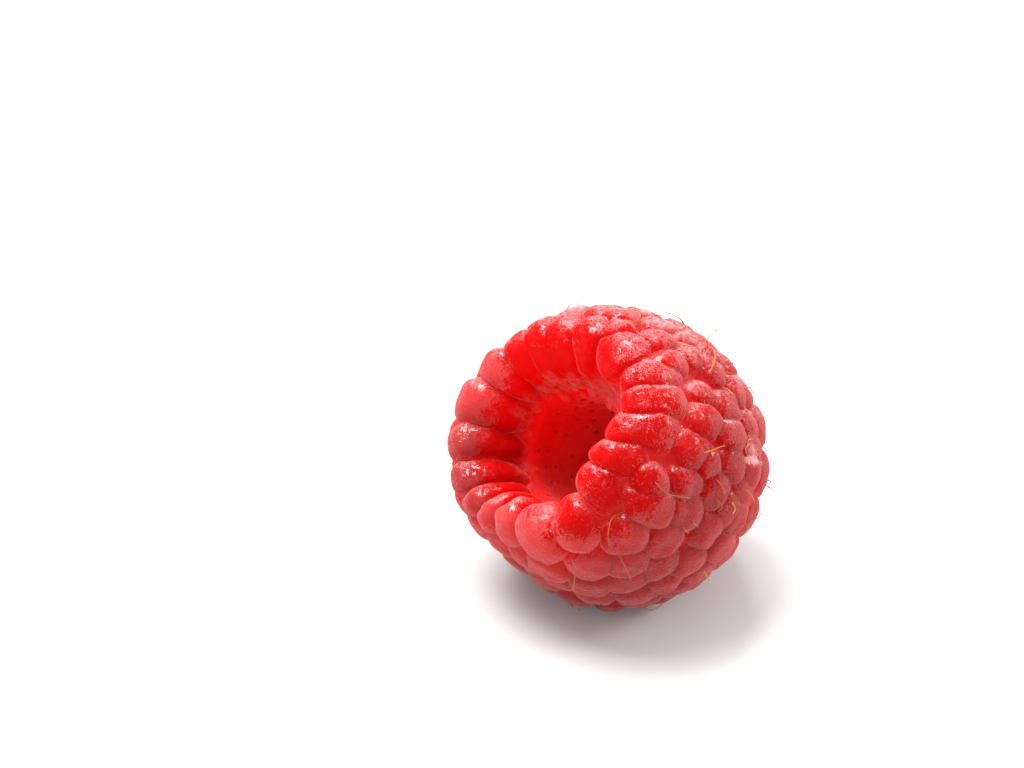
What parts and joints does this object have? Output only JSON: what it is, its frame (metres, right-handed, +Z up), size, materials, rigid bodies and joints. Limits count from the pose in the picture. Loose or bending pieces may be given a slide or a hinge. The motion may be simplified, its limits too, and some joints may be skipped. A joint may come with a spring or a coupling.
{
  "type": "raspberry",
  "caption": "Picked ripe raspberry, a hollow aggregate fruit lying on its side with the open end tipped up towards the front.",
  "frame": {"origin": "the point of the surface it lies on under the middle of the fruit's box", "axes": "+Z up from the surface, -Y out of the open end seen from above, +X to the right of someone who looks into it"},
  "size_m": [0.0224, 0.0232, 0.0224],
  "materials": {
    "raspberry_skin": "soft fruit skin with a fine bloom of hairs"
  },
  "bodies": {
    "root": {"raspberry": "raspberry_skin"}
  },
  "joints": []
}
